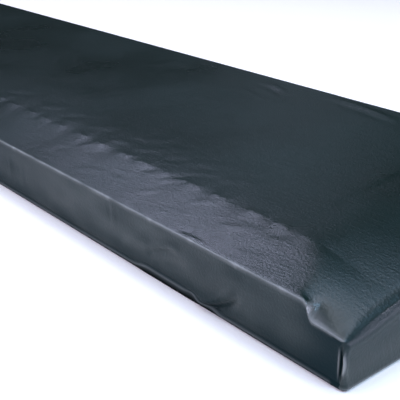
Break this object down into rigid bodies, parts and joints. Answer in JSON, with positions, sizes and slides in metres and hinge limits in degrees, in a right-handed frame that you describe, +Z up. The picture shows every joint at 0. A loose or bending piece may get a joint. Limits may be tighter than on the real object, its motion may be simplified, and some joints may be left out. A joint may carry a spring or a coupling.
{
  "type": "keyboard dust cover",
  "caption": "Fitted stretch-cloth dust cover for a long musical keyboard: hollow below, boxed corners, turned-in hem, crisp front ridge and a row of small tents behind it.",
  "frame": {"origin": "centre of the cover's footprint, at the height of the hem's lowest fold", "axes": "+X along the length towards the end with the open corner seam, -Y towards the low front with the ridge, +Z up"},
  "size_m": [1.288, 0.2892, 0.08],
  "materials": {
    "stretch_cloth": "smooth dark blue-grey stretch cloth with a satin sheen"
  },
  "bodies": {
    "root": {"cover_cloth": "stretch_cloth"}
  },
  "joints": []
}
